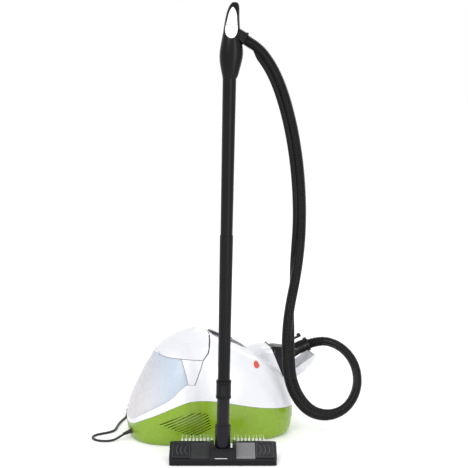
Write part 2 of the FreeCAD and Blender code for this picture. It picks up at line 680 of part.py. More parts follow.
def make_neck():
    """The stub, the glossy barrel and the knuckle that tilts in the floor head."""
    low, top, radius = size("neck_low"), size("neck_top"), size("neck_r")
    stub_r = size("stub_r")
    barrel = Part.makeCylinder(radius, top - low, V(0, 0, low))
    shoulder = Part.makeCone(radius, stub_r, 5, V(0, 0, top))
    stub = Part.makeCylinder(stub_r, size("collar_low") - top, V(0, 0, top))
    foot = Part.makeCone(size("knuckle_r"), radius, 14, V(0, 0, low - 14))
    outside = barrel.multiFuse([shoulder, stub, foot])
    bore = Part.makeCylinder(13.5, size("collar_low") - low, V(0, 0, low))
    return outside.cut(bore)


# the barrel leans with the wand, and the knuckle stays level so that it turns true in the floor head
neck_blank = doc.addObject("Part::Feature", "neck_blank")
neck_blank.Shape = make_neck()
neck_blank.Placement = LEAN
knuckle = cylinder("neck_knuckle", "knuckle_r", "2 * knuckle_half",
                   (-size("knuckle_half"), 0, size("pivot_z")), ACROSS)
knuckle_bore = cylinder("neck_bore", "pivot_r + running_gap", "2 * knuckle_half",
                        (-size("knuckle_half"), 0, size("pivot_z")), ACROSS)
keep("neck", cut("neck_all", fuse("neck_solid", neck_blank, knuckle), knuckle_bore), STAND)

# ---------------------------------------------------------------- handle

GRIP = [
    (1070, -18.4, 18.6, -18.5, 18.5), (1085, -21.5, 25, -22, 24), (1105, -25.7, 30, -25, 30),
    (1135, -28, 35.5, -27, 34), (1165, -24.5, 33, -25, 34), (1195, -19.5, 27.5, -20, 34),
    (1222, -15.6, 24.6, -14, 33), (1243, -11.6, 23.8, -8, 31), (1258, -7, 23.4, -2, 28),
    (1269, -1, 21.5, 5, 24), (1275, 5, 17, 10, 19),
]
GRIP_POWER = 2.3
PART_LINE = 4
grip_outer = form(GRIP, GRIP_POWER)
grip_inner = form(GRIP, GRIP_POWER, size("handle_wall"))
grip_proud = form(GRIP, GRIP_POWER, -0.7)
CUFF_START = (17, 2, 1190)
CUFF_TURN = (ALONG, 90 + 30)
INLAY = [(2.7, 1180), (-10, 1187), (-13.9, 1200), (-9.4, 1225), (-1.6, 1253), (5.6, 1262), (13, 1253),
         (18, 1225), (19.4, 1200), (15, 1187)]
TRIGGER = (2, 27, 1164)


def teardrop(grow=0):
    """The outline of the light panel in the handle's front, larger all round by grow."""
    middle_x, middle_z = 4, 1215
    ring = []
    for x, z in INLAY:
        reach = math.hypot(x - middle_x, z - middle_z)
        factor = 1 + grow / reach
        ring.append(V(middle_x + (x - middle_x) * factor, 0, middle_z + (z - middle_z) * factor))
    curve = Part.BSplineCurve()
    curve.interpolate(ring, PeriodicFlag=True)
    face = Part.Face(Part.Wire([curve.toShape()]))
    face.translate(V(0, -40, 0))
    return face.extrude(V(0, 52, 0))


def cuff(radius, length, start=0):
    """A cylinder on the line of the hose cuff."""
    solid = Part.makeCylinder(radius, length, V(0, 0, start))
    solid.Placement = turned(*CUFF_START, CUFF_TURN)
    return solid


grip_skin = grip_outer.cut(grip_inner)
cuff_room = cuff(size("cuff_r") + 0.2, 60).fuse(cuff(size("cuff_r") + 2.3, 40, size("cuff_long") + 1.7))
trigger_room = box((TRIGGER[0] - 7, 20, 1102), (TRIGGER[0] + 7, 60, 1170))
front_side = box((-60, -60, 1000), (60, PART_LINE - 0.2, 1300))
back_side = box((-60, PART_LINE, 1000), (60, 60, 1300))
panel_zone = grip_proud.cut(form(GRIP, GRIP_POWER, 1.9)).common(box((-60, -60, 1000), (60, 12, 1300)))
front = grip_skin.common(front_side).cut(cuff_room).cut(teardrop(0.4))
back = grip_skin.common(back_side).cut(cuff_room).cut(trigger_room).cut(teardrop(0.4))
trigger_lugs = [box((TRIGGER[0] + side * 8.6 - 1.4, 23, 1160), (TRIGGER[0] + side * 8.6 + 1.4, 33, 1168))
                for side in (-1, 1)]
trigger_hole = Part.makeCylinder(1.5, 24, V(TRIGGER[0] - 12, TRIGGER[1], TRIGGER[2]), V(1, 0, 0))
back = back.multiFuse([lug.common(grip_outer) for lug in trigger_lugs]).cut(trigger_hole)
feature("handle_front", front, WAND)
feature("handle_back", back, WAND)
panel = panel_zone.common(teardrop())
feature("handle_inlay", panel.common(box((-60, -60, 1215.5), (60, 60, 1300))), WAND)
feature("steam_pad", panel.common(box((-60, -60, 1100), (60, 60, 1214.6))), WAND)


def make_cuff():
    tube = cuff(size("cuff_r"), size("cuff_long") + 8)
    ring = cuff(size("cuff_r") + 2, 6, size("cuff_long") + 2)
    seat = cuff(size("hose_d") / 2 + 0.6, 60, size("cuff_long") - 14)
    return tube.fuse(ring).cut(cuff(12, 30)).cut(seat)


feature("hose_cuff", make_cuff(), WAND)


def make_trigger():
    lever = slab(outline([(-9, 0), (-16, -22), (-12, -46), (-2, -60)], [(6, -60), (6, 4)]), 5.6)
    lever = lever.fuse(Part.makeCylinder(5, 11.2, V(0, -5.6, 0), V(0, 1, 0)))
    return lever.cut(Part.makeCylinder(1.55, 20, V(0, -10, 0), V(0, 1, 0)))


trigger_turn = turned(*TRIGGER, (UP, -90))
feature("steam_trigger", make_trigger(), WAND.multiply(trigger_turn))
trigger_rod = cylinder("trigger_rod", "1.5", "20", (TRIGGER[0] - 10, TRIGGER[1], TRIGGER[2]), ACROSS)
keep("trigger_pin", trigger_rod, WAND)

# ---------------------------------------------------------------- floor head


def deck(y):
    """Height of the floor head's sloping top at a place front to back."""
    return 15 + (y + 48) * 28 / 93


def make_head_shell():
    half, thick = size("head_half"), size("deck_thick")
    outside = profile_x([(-50, 2), (-50, 12), (-46, deck(-46)), (45, deck(45)), (48, 40), (48, 2)],
                        -half, half)
    uprights = [edge for edge in outside.Edges if edge.BoundBox.ZLength > 8 and edge.BoundBox.XLength < 0.1
                and edge.BoundBox.YLength < 0.1]
    outside = outside.makeFillet(7, uprights)
    room = profile_x([(-47, 0), (-47, 10), (-45, deck(-45) - thick), (44, deck(44) - thick), (45, 34),
                      (45, 0)], thick - half, half - thick)
    gap = size("cheek_gap")
    slot = box((-gap, -27, 8), (gap, 60, 60))
    rear_sill = box((-gap, 42, 8), (gap, 48, 24))
    return outside.cut(room).cut(slot).fuse(rear_sill)


def make_hump():
    """The fairing over the neck's knuckle: a nose and two cheeks, with ears that hold the pivot pin."""
    gap, out = size("cheek_gap"), size("cheek_out")
    cheek = [(-45, deck(-45)), (-36, 34), (-25, 44), (-8, 50), (14, 52), (34, 50), (44, deck(44))]
    ear = [(-12, 10), (12, 10), (12, deck(12) - 1), (-12, deck(-12) - 1)]
    nose = profile_x([(-47, deck(-47)), (-40, 27), (-33, 38), (-28, 43), (-28, deck(-28))], -out, out)
    solids = [nose]
    for side in (-1, 1):
        solids.append(profile_x(cheek, *sorted((side * gap, side * out))))
        solids.append(profile_x(ear, *sorted((side * gap, side * (out - 4)))))
    return solids


brush_bars = [box((low, 47.5, 26), (low + 104, 56, 36)) for low in (-134, 30)]
pivot = Part.makeCylinder(size("pivot_r"), 2 * size("cheek_out"), V(-size("cheek_out"), 0, size("pivot_z")),
                          V(1, 0, 0))
shell = make_head_shell().multiFuse(make_hump() + brush_bars).cut(pivot)
feature("head_shell", shell, HEAD)
pin_start = (-size("cheek_out") + 4, 0, size("pivot_z"))
keep("neck_pin", cylinder("neck_rod", "pivot_r", "2 * (cheek_out - 4)", pin_start, ACROSS), HEAD)

sole = body("sole_body")
sole_outline = sketch_on(sole, "XY_Plane", "sole_outline")
rectangle(sole_outline, "2 * head_half - 2 * deck_thick - 1", "90")
pad(sole, sole_outline, "4")
mouth = sketch_on(sole, "XY_Plane", "sole_mouth")
rectangle(mouth, "240", "16")
pocket(sole, mouth, "4", flipped=True)
doc.recompute()
sole.Placement = turned(0, -1, 3)
keep("sole_plate", sole, HEAD)

strips = [block(f"sole_strip_{number}", 262, 5, 3, (0, y, 0)) for number, y in enumerate((-30, 28))]
keep("sole_strips", fuse("sole_strip_pair", *strips), HEAD)


def on_deck(low_x, high_x, low_y, high_y, low, high):
    """A plate that lies along the sloping top, between two heights above it."""
    return profile_x([(low_y, deck(low_y) + low), (high_y, deck(high_y) + low),
                      (high_y, deck(high_y) + high), (low_y, deck(low_y) + high)], low_x, high_x)


for side, name in ((-1, "left"), (1, "right")):
    spans = sorted((side * 92, side * 143))
    feature(f"clip_{name}", on_deck(*spans, -38, 37, 0.3, 2.6), HEAD)

treads = [on_deck(*sorted((side * 37, side * 90)), -38, 37, 0, 1.4) for side in (-1, 1)]
feature("tread_pads", treads[0].fuse(treads[1]), HEAD)
tufts = [box((low, 48.6, 36), (high, 56, 60)) for low, high in ((-134, -30), (30, 134))]
feature("brush_tufts", tufts[0].fuse(tufts[1]), HEAD)

# ---------------------------------------------------------------- hose and mains lead


def cord_tube(name, points, diameter):
    """Straight runs joined by tangent arcs, swept with a round section.  Prints each bend's radius."""
    points = [V(*point) for point in points]
    edges, radii, start = [], [], points[0]
    for before, corner, after in zip(points, points[1:], points[2:]):
        back, ahead = before - corner, after - corner
        half_turn = (math.pi - back.getAngle(ahead)) / 2
        trim = 0.45 * min(back.Length, ahead.Length)
        radii.append(trim / math.tan(half_turn))
        enter = corner + back.normalize() * trim
        leave = corner + ahead.normalize() * trim
        bisector = (back + ahead).normalize()
        middle = corner + bisector * (radii[-1] / math.cos(half_turn) - radii[-1])
        edges += [Part.LineSegment(start, enter).toShape(), Part.Arc(enter, middle, leave).toShape()]
        start = leave
    edges.append(Part.LineSegment(start, points[-1]).toShape())
    path = Part.Wire(edges)
    ring = Part.Wire([Part.Circle(points[0], points[1] - points[0], diameter / 2).toShape()])
    tube = path.makePipeShell([ring], True, False)
    expected = math.pi / 4 * diameter ** 2 * path.Length
    print(f"{name}: length {path.Length:.0f} mm, volume ratio {tube.Volume / expected:.4f},",
          "radii", " ".join(f"{radius:.0f}" for radius in radii))
    return tube


def from_machine(x, y, z):
    return (x + size("machine_x"), y + size("machine_y"), z)


in_cuff = WAND.multiply(turned(*CUFF_START, CUFF_TURN)).multVec(V(0, 0, size("cuff_long") - 13.6))
in_plug = SOCKET.multVec(V(0, 0, size("plug_long") - size("hose_depth")))
out_of_cuff = WAND.multiply(turned(*CUFF_START, CUFF_TURN)).multVec(V(0, 0, size("cuff_long") + 16))
HOSE_ROUTE = [
    tuple(in_cuff), tuple(out_of_cuff),
    from_machine(77, -333, 1146.5), from_machine(120, -336, 1083), from_machine(153, -338, 990),
    from_machine(178, -334, 880), from_machine(194, -322, 762), from_machine(200, -306, 645),
    from_machine(196, -280, 525), from_machine(187, -246, 405), from_machine(190, -216, 290),
    from_machine(206, -186, 176), from_machine(263, -156, 88), from_machine(336, -130, 56),
    from_machine(407, -104, 72), from_machine(450, -75, 127), from_machine(448, -46, 196),
    from_machine(406, -19, 247), from_machine(340, 0, 262.8),
    tuple(in_plug),
]
feature("hose", cord_tube("hose", HOSE_ROUTE, size("hose_d")), FreeCAD.Placement())

gland = cylinder("gland_barrel", "5.6", "32", (0, 0, -12))
flange = cylinder("gland_flange", "9", "4", (0, 0, 2))
keep("cord_gland", fuse("gland_all", gland, flange), MACHINE.multiply(GLAND_PLACE))
LEAD_ROUTE = [
    tuple(MACHINE.multiply(GLAND_PLACE).multVec(V(0, 0, 20))),
    from_machine(-268, -41, 12.2), from_machine(-286, -52.5, 5.6), from_machine(-304, -58.7, 3.8),
    from_machine(-325, -55.7, 3.8), from_machine(-341.7, -42.7, 3.8), from_machine(-349.7, -23, 3.8),
    from_machine(-346.7, -2, 3.8), from_machine(-333.7, 14.7, 3.8), from_machine(-314, 22.7, 3.8),
    from_machine(-291, 31, 3.8), from_machine(-274, 48, 3.8), from_machine(-265, 72, 3.8),
    from_machine(-257, 99, 3.8), from_machine(-246, 129, 3.8), from_machine(-231, 160, 3.8),
    from_machine(-215, 191, 3.8), from_machine(COIL[0] - 56, COIL[1] - 8, 3.8),
]
feature("mains_lead", cord_tube("mains_lead", LEAD_ROUTE, size("lead_d")), FreeCAD.Placement())

coil_drum = cylinder("coil_drum", "coil_outer", "coil_high", COIL)
coil_eye = cylinder("coil_eye", "coil_inner", "coil_high", COIL)
coil_ring = cut("coil_ring", coil_drum, coil_eye)
MAINS_PLUG = (COIL[0] + size("coil_outer"), COIL[1] + 45, size("mains_plug_r"))
loose_end = cylinder("loose_end", "lead_d / 2", "21", (MAINS_PLUG[0] - 21, MAINS_PLUG[1], 20), ACROSS)
keep("mains_coil", fuse("coil_all", coil_ring, loose_end), MACHINE)
plug_grip = cylinder("plug_grip", "mains_plug_r", "36", MAINS_PLUG, ACROSS)
keep("mains_plug", plug_grip, MACHINE)
pin_x = MAINS_PLUG[0] + 36
pins = [cylinder(f"plug_pin_{side}", "pin_r", "pin_long",
                 (pin_x, MAINS_PLUG[1] + side * size("pin_pitch") / 2, MAINS_PLUG[2]), ACROSS)
        for side in (-1, 1)]
keep("mains_plug_pins", fuse("plug_pins", *pins), MACHINE)

# ---------------------------------------------------------------- fasteners


screws = [cylinder(f"screw_{number}", "3", "2.4", (x, y, 13.6))
          for number, (x, y) in enumerate([(-90, -110), (-90, 110), (90, -110), (90, 110), (0, -60), (0, 60)])]
keep("casing_screws", fuse("screw_group", *screws), MACHINE)

# ---------------------------------------------------------------- check and write

doc.recompute()
for item in doc.Objects:
    if "Invalid" in item.State or "Error" in item.State:
        raise RuntimeError(f"{item.Name} did not compute: {item.State}")
os.makedirs("parts", exist_ok=True)
for label, item in kept.items():
    shape = item.Shape
    if shape.isNull() or not shape.isValid() or shape.Volume <= 0:
        raise RuntimeError(f"{label} has no valid shape")
    shape.exportStep(f"parts/{label}.step")
print(len(kept), "sub-parts written")
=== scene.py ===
"""Looks for the canister floor cleaner: camera and light, the hose and mains cord, fine detail
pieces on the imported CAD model, and a procedural material for every surface.

Metres, +Z up, in the row frame, which is the CAD model's.  Numbers in millimetres are points of the
local frames below, as in the CAD model.
"""
import json
import math
import random

import bmesh
import bpy
import numpy as np
from mathutils import Matrix, Vector
from mathutils.bvhtree import BVHTree


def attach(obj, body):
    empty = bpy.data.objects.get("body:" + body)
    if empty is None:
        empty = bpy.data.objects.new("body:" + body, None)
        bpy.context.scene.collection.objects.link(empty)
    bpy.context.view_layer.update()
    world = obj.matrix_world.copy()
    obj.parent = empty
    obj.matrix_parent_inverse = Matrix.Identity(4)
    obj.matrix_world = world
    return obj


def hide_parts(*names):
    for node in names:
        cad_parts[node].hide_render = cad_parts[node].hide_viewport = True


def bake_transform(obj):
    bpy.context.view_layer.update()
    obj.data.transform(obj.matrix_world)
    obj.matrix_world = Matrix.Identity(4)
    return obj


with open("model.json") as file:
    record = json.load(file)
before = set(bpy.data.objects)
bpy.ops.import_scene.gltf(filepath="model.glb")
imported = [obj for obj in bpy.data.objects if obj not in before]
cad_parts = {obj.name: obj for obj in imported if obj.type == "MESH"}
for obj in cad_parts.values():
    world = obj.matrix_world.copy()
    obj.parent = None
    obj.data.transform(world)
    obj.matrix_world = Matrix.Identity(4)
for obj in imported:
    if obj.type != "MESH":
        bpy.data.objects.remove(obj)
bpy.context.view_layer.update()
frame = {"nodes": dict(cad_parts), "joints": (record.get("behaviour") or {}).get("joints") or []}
nodes = frame["nodes"]
joints = {joint["name"]: joint for joint in frame["joints"]}
MM = 0.001
rng = random.Random(7)

# ---------------------------------------------------------------- places, worked out from the frame


def centre(joint):
    """The point that a joint's axis goes through, in the row frame."""
    return Vector(joints[joint]["pos_m"])


def axes(x_axis, y_axis, z_axis):
    """The turn that takes a local frame's directions to the row frame."""
    columns = [Vector(axis).normalized() for axis in (x_axis, y_axis, z_axis)]
    return Matrix([[column[row] for column in columns] for row in range(3)]).to_4x4()


def hung_at(joint, turn, point):
    """A turned frame, moved so that one of its points lies at a joint's centre."""
    return Matrix.Translation(centre(joint) - turn @ Vector(point)) @ turn


def local(place, point, degrees=0):
    """A frame at a point in millimetres of another frame, turned about that frame's Y axis."""
    turn = Matrix.Rotation(math.radians(degrees), 4, "Y")
    return place @ Matrix.Translation(Vector(point) * MM) @ turn


def mm(place, *point):
    """A point given in millimetres in a local frame, in the row frame in metres."""
    return place @ (Vector(point) * MM)


# machine frame: on the floor under the machine, near the middle of its four wheels
WHEELS_MIDDLE_X = 9 * MM
MACHINE = Matrix.Translation((
    (centre("roll_hose_near").x + centre("roll_tank_near").x) / 2 - WHEELS_MIDDLE_X,
    (centre("roll_hose_near").y + centre("roll_hose_far").y) / 2,
    0,
))

# wand frame: Z up the leaning tubes, Y from front to back
wand_x = -Vector(joints["trigger_pull"]["axis"])
wand_y = Vector(joints["pad_press"]["axis"])
TRIGGER_IN_WAND = (2 * MM, 27 * MM, 1164 * MM)
WAND = hung_at("trigger_pull", axes(wand_x, wand_y, wand_x.cross(wand_y)), TRIGGER_IN_WAND)

# head frame: on the floor under the neck's pin, X across the floor head
head_x = Vector(joints["head_tilt"]["axis"])
PIN_IN_HEAD = (0, 0, centre("head_tilt").z)
HEAD = hung_at("head_tilt", axes(head_x, Vector((0, 0, 1)).cross(head_x), (0, 0, 1)), PIN_IN_HEAD)

# socket frame: Z out of the slanting socket, X down its face
SOCKET_TILT = math.radians(22)
socket_z = Vector((math.cos(SOCKET_TILT), 0, math.sin(SOCKET_TILT)))
socket_x = Vector((math.sin(SOCKET_TILT), 0, -math.cos(SOCKET_TILT)))
LATCH_IN_SOCKET = (-33 * MM, 0, 60 * MM)
SOCKET = hung_at("latch_press", axes(socket_x, (0, 1, 0), socket_z), LATCH_IN_SOCKET)


# ---------------------------------------------------------------- camera, light and floor


def make_camera():
    """A level-standing camera that looks a little down and to the right."""
    camera = bpy.data.objects.new("camera", bpy.data.cameras.new("camera"))
    bpy.context.scene.collection.objects.link(camera)
    azimuth, pitch = math.radians(13), math.radians(8.7)
    camera.location = (-0.965, -4.245, 1.28)
    level = math.cos(pitch)
    look = Vector((math.sin(azimuth) * level, math.cos(azimuth) * level, -math.sin(pitch)))
    camera.rotation_euler = look.to_track_quat("-Z", "Y").to_euler()
    camera.data.sensor_width = 36
    camera.data.lens = 117.6
    camera.data.clip_end = 60
    bpy.context.scene.camera = camera


def make_light(name, location, target, size, power):
    """A white area light that faces a point."""
    lamp = bpy.data.lights.new(name, "AREA")
    lamp.shape = "RECTANGLE"
    lamp.size, lamp.size_y = size
    lamp.energy = power
    obj = bpy.data.objects.new(name, lamp)
    obj.location = location
    obj.rotation_euler = (Vector(target) - Vector(location)).to_track_quat("-Z", "Y").to_euler()
    bpy.context.scene.collection.objects.link(obj)


def make_studio():
    """A white room, four area lights and a white floor."""
    world = bpy.data.worlds.new("studio")
    world.use_nodes = True
    background = world.node_tree.nodes["Background"]
    background.inputs["Color"].default_value = (1, 1, 1, 1)
    background.inputs["Strength"].default_value = 1.0
    bpy.context.scene.world = world
    make_light("key_light", (-1.9, -2.6, 2.7), (0, 0, 0.3), (1.6, 1.6), 42)
    make_light("front_light", (0.6, -3.4, 1.5), (0, 0, 0.5), (0.7, 2.2), 16)
    make_light("back_light", (1.4, 2.6, 2.4), (0, 0, 0.4), (1.8, 1.2), 20)
    make_light("strip_light", (0.75, -2.6, 1.1), (-0.06, -0.19, 0.5), (0.12, 2.0), 14)
    mesh = bpy.data.meshes.new("floor")
    half = 14
    mesh.from_pydata([(-half, -half, 0), (half, -half, 0), (half, half, 0), (-half, half, 0)], [],
                     [(0, 1, 2, 3)])
    floor = bpy.data.objects.new("floor", mesh)
    bpy.context.scene.collection.objects.link(floor)
    floor.data.materials.append(floor_look())
    view = bpy.context.scene.view_settings
    view.view_transform = "Standard"
    view.look = "None"


# ---------------------------------------------------------------- materials


def start_look(name, colour, roughness, **sockets):
    """A Principled material; sockets set the shader's other constants by name."""
    look = bpy.data.materials.new(name)
    look.use_nodes = True
    shader = look.node_tree.nodes["Principled BSDF"]
    shader.inputs["Base Color"].default_value = (*colour, 1)
    shader.inputs["Roughness"].default_value = roughness
    for socket, value in sockets.items():
        shader.inputs[socket.replace("_", " ").title().replace("Ior", "IOR")].default_value = value
    return look, shader


def add(look, kind, links=None, **values):
    """A shader node with some inputs linked and others set, by name."""
    node = look.node_tree.nodes.new("ShaderNode" + kind)
    for name, value in values.items():
        node.inputs[name.replace("_", " ").title()].default_value = value
    for socket, source in (links or {}).items():
        look.node_tree.links.new(source, node.inputs[socket])
    return node


def place_of(look, scale=(1, 1, 1), turn=(0, 0, 0)):
    """Object coordinates, which are the row frame, stretched by scale."""
    where = add(look, "TexCoord").outputs["Object"]
    return add(look, "Mapping", {"Vector": where}, scale=scale, rotation=turn).outputs["Vector"]


def noise(look, scale, detail=4, roughness=0.5, stretch=(1, 1, 1)):
    """The factor of a noise texture."""
    node = add(look, "TexNoise", {"Vector": place_of(look, stretch)},
               scale=scale, detail=detail, roughness=roughness)
    return node.outputs["Fac"]


def vary_gloss(look, shader, factor, low, high):
    """Drive the shader's roughness from low to high by a texture's factor."""
    ranged = add(look, "MapRange", {"Value": factor},
                 from_min=0.3, from_max=0.7, to_min=low, to_max=high)
    look.node_tree.links.new(ranged.outputs["Result"], shader.inputs["Roughness"])


def paint(look, shader, colour):
    """Drive the shader's colour by a colour output."""
    look.node_tree.links.new(colour, shader.inputs["Base Color"])


def two_tone(look, factor, first, second, low=0.35, high=0.65):
    """A colour that runs from first to second as the factor goes from low to high."""
    ramp = add(look, "ValToRGB", {"Fac": factor})
    ramp.color_ramp.elements[0].position = low
    ramp.color_ramp.elements[1].position = high
    ramp.color_ramp.elements[0].color = (*first, 1)
    ramp.color_ramp.elements[1].color = (*second, 1)
    return ramp.outputs["Color"]


def bump(look, shader, height, strength, distance):
    """Bump the shader's normal by a height texture, over any bump it already has."""
    node = add(look, "Bump", {"Height": height}, strength=strength, distance=distance)
    taken = shader.inputs["Normal"].links
    if taken:
        look.node_tree.links.new(taken[0].from_socket, node.inputs["Normal"])
    look.node_tree.links.new(node.outputs["Normal"], shader.inputs["Normal"])


def shade(colour, factor):
    """A colour made lighter or darker."""
    return tuple(min(1, channel * factor) for channel in colour)


def plastic(name, colour, roughness, grain=0.04, grain_scale=900, mottle=0.06, coat=0.0, **sockets):
    """Moulded plastic: slow colour drift, faint handling marks in the gloss, and a fine grain,
    whose height is in millimetres."""
    look, shader = start_look(name, colour, roughness, coat_weight=coat, coat_roughness=0.08,
                              **sockets)
    drift = noise(look, 9, 3)
    paint(look, shader, two_tone(look, drift, shade(colour, 1 - mottle), shade(colour, 1 + mottle)))
    vary_gloss(look, shader, noise(look, 60, 6, 0.65), roughness * 0.82, roughness * 1.25)
    bump(look, shader, noise(look, grain_scale, 2), 0.35, grain * MM)
    return look


STREAK_SCALE = 180


def metal(name, colour, roughness, stretch=(1, 1, 1)):
    """Drawn or brushed metal: streaks in the gloss and colour, long where stretch is small."""
    look, shader = start_look(name, colour, roughness, metallic=1.0)
    streaks = noise(look, STREAK_SCALE, 6, 0.7, stretch)
    paint(look, shader, two_tone(look, streaks, shade(colour, 0.82), shade(colour, 1.08)))
    vary_gloss(look, shader, streaks, roughness * 0.7, roughness * 1.4)
    bump(look, shader, streaks, 0.2, 0.05 * MM)
    return look


def rubber(name, colour, roughness=0.62):
    """Moulded rubber: dusty patches and a dull, slightly pitted surface."""
    look, shader = start_look(name, colour, roughness)
    dust = noise(look, 35, 8, 0.7)
    paint(look, shader, two_tone(look, dust, colour, shade(colour, 1.9), 0.45, 0.8))
    vary_gloss(look, shader, dust, roughness * 0.85, roughness * 1.3)
    bump(look, shader, noise(look, 1500, 3), 0.5, 0.06 * MM)
    return look


def floor_look():
    """White studio floor, which glows a little so that it meets the white background."""
    look, shader = start_look("floor_paint", (0.93, 0.93, 0.935), 0.9,
                              emission_color=(1, 1, 1, 1), emission_strength=0.1)
    paint(look, shader, two_tone(look, noise(look, 3, 4), (0.92, 0.92, 0.925), (0.94, 0.94, 0.945)))
    return look


def graded_along_x(look, start, end):
    """A factor that goes from 0 to 1 between two X values in metres."""
    where = add(look, "TexCoord").outputs["Object"]
    x = add(look, "SeparateXYZ", {"Vector": where}).outputs["X"]
    return add(look, "MapRange", {"Value": x}, from_min=start, from_max=end).outputs["Result"]


def grip_look(name):
    """The carry handle's plastic, near black at its tank end and painted lighter grey towards its
    hose end: a painted sheen.
    """
    look, shader = start_look(name, (0.03, 0.03, 0.032), 0.34)
    along = graded_along_x(look, -0.03, 0.07)
    # painted sheen: the lighter grey at the hose end stands for light on the handle, not a colour
    # of the plastic
    paint(look, shader, two_tone(look, along, (0.008, 0.008, 0.009), (0.26, 0.27, 0.28), 0.2, 0.9))
    vary_gloss(look, shader, noise(look, 60, 6, 0.65), 0.28, 0.44)
    bump(look, shader, noise(look, 900, 2), 0.35, 0.05 * MM)
    return look


def tread_look(name):
    """Grey tread rubber, painted lighter on the pad at the hose side: a painted reflection on that
    pad.
    """
    look, shader = start_look(name, (0.1, 0.1, 0.1), 0.55)
    along = graded_along_x(look, -0.10, -0.03)
    # painted reflection: the light grey on the pad at the hose side stands for light that the pad
    # reflects; the pad at the tank side keeps the near-black rubber
    dark, painted_reflection_grey = (0.012, 0.012, 0.014), (0.19, 0.185, 0.195)
    paint(look, shader, two_tone(look, along, dark, painted_reflection_grey, 0.1, 0.9))
    vary_gloss(look, shader, noise(look, 80, 6, 0.7), 0.45, 0.7)
    bump(look, shader, noise(look, 1100, 4), 0.6, 0.2 * MM)
    return look


def tank_look(name):
    """Frosted translucent plastic of a water tank, with painted light: lighter and greyer at its
    end face, darker and bluer along its side, as the two faces take the light.
    """
    look, shader = start_look(name, (0.60, 0.67, 0.74), 0.28, alpha=0.7)
    along = graded_along_x(look, -0.27, -0.14)
    # painted light: the end face and the side of the tank are painted in two tones for the way
    # light falls on them
    paint(look, shader, two_tone(look, along, (0.74, 0.725, 0.75), (0.57, 0.65, 0.75), 0.15, 0.75))
    vary_gloss(look, shader, noise(look, 40, 4, 0.5), 0.24, 0.32)
    bump(look, shader, noise(look, 1200, 2), 0.2, 0.01 * MM)
    return look


def flap_look(name):
    """Milky plastic with faint flow lines."""
    look, shader = start_look(name, (0.74, 0.75, 0.79), 0.3, alpha=0.7)
    flow = noise(look, 22, 5, 0.6)
    paint(look, shader, two_tone(look, flow, (0.66, 0.67, 0.73), (0.82, 0.83, 0.86)))
    bump(look, shader, noise(look, 300, 4), 0.4, 0.1 * MM)
    return look


def foam_look(name):
    """Open-cell filter foam."""
    look, shader = start_look(name, (0.55, 0.55, 0.53), 0.95)
    cells = add(look, "TexVoronoi", {"Vector": place_of(look)}, scale=420).outputs["Distance"]
    paint(look, shader, two_tone(look, cells, (0.16, 0.16, 0.15), (0.62, 0.62, 0.6), 0.1, 0.5))
    bump(look, shader, cells, 0.9, 0.8 * MM)
    return look


def board_look(name):
    """Green lacquered board with copper tracks."""
    look, shader = start_look(name, (0.02, 0.12, 0.05), 0.35)
    upright = place_of(look, turn=(math.pi / 2, 0, 0))
    tracks = add(look, "TexBrick", {"Vector": upright}, scale=60, color1=(0.02, 0.12, 0.05, 1),
                 color2=(0.03, 0.17, 0.07, 1), mortar=(0.45, 0.30, 0.10, 1))
    paint(look, shader, tracks.outputs["Color"])
    bump(look, shader, tracks.outputs["Fac"], 0.4, 0.2 * MM)
    return look


# the looks of the record's material slots
WHITE = (0.70, 0.705, 0.745)
GREEN = (0.187, 0.315, 0.006)
BLACK = (0.0045, 0.0042, 0.005)
DULL = {"specular_ior_level": 0.16}

